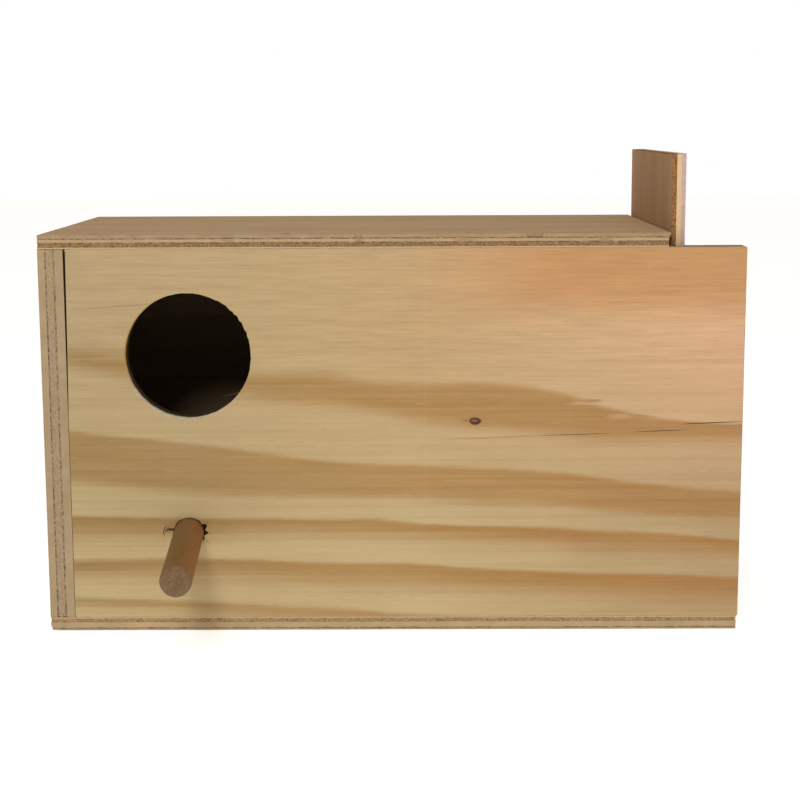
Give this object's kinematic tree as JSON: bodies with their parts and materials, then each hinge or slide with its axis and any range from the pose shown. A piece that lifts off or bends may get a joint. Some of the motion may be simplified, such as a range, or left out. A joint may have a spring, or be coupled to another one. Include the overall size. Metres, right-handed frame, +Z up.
{
  "type": "plywood nest box",
  "caption": "Long plywood nest box for small cage birds, with a round entrance, a dowel perch, a dished nest block and a lift-out end door.",
  "frame": {"origin": "centre of the box's length and depth, on the floor panel's underside", "axes": "+X along the box towards the sliding door, +Y from the front board to the back board, +Z up"},
  "size_m": [0.278, 0.2112, 0.1905],
  "materials": {
    "pine_plywood": "bare, lightly sanded pine veneer",
    "thin_plywood": "bare, dull hardwood veneer",
    "door_plywood": "bare, dull reddish-brown veneer",
    "dowel_wood": "bare hardwood dowel",
    "block_wood": "bare sawn pine",
    "pin_steel": "bright steel wire"
  },
  "bodies": {
    "box": {"front_board": "pine_plywood", "back_board": "pine_plywood", "left_board": "pine_plywood", "roof_panel": "thin_plywood", "floor_panel": "thin_plywood", "perch": "dowel_wood", "nest_block": "block_wood", "roof_pins": "pin_steel", "floor_pins": "pin_steel", "left_board_pins": "pin_steel", "nest_block_pins": "pin_steel"},
    "door": {"sliding_door": "door_plywood"}
  },
  "joints": [
    {"name": "door_lift", "type": "slide", "parent": "box", "child": "door", "axis": [0, 0, 1], "range_m": [0, 0.16]}
  ]
}
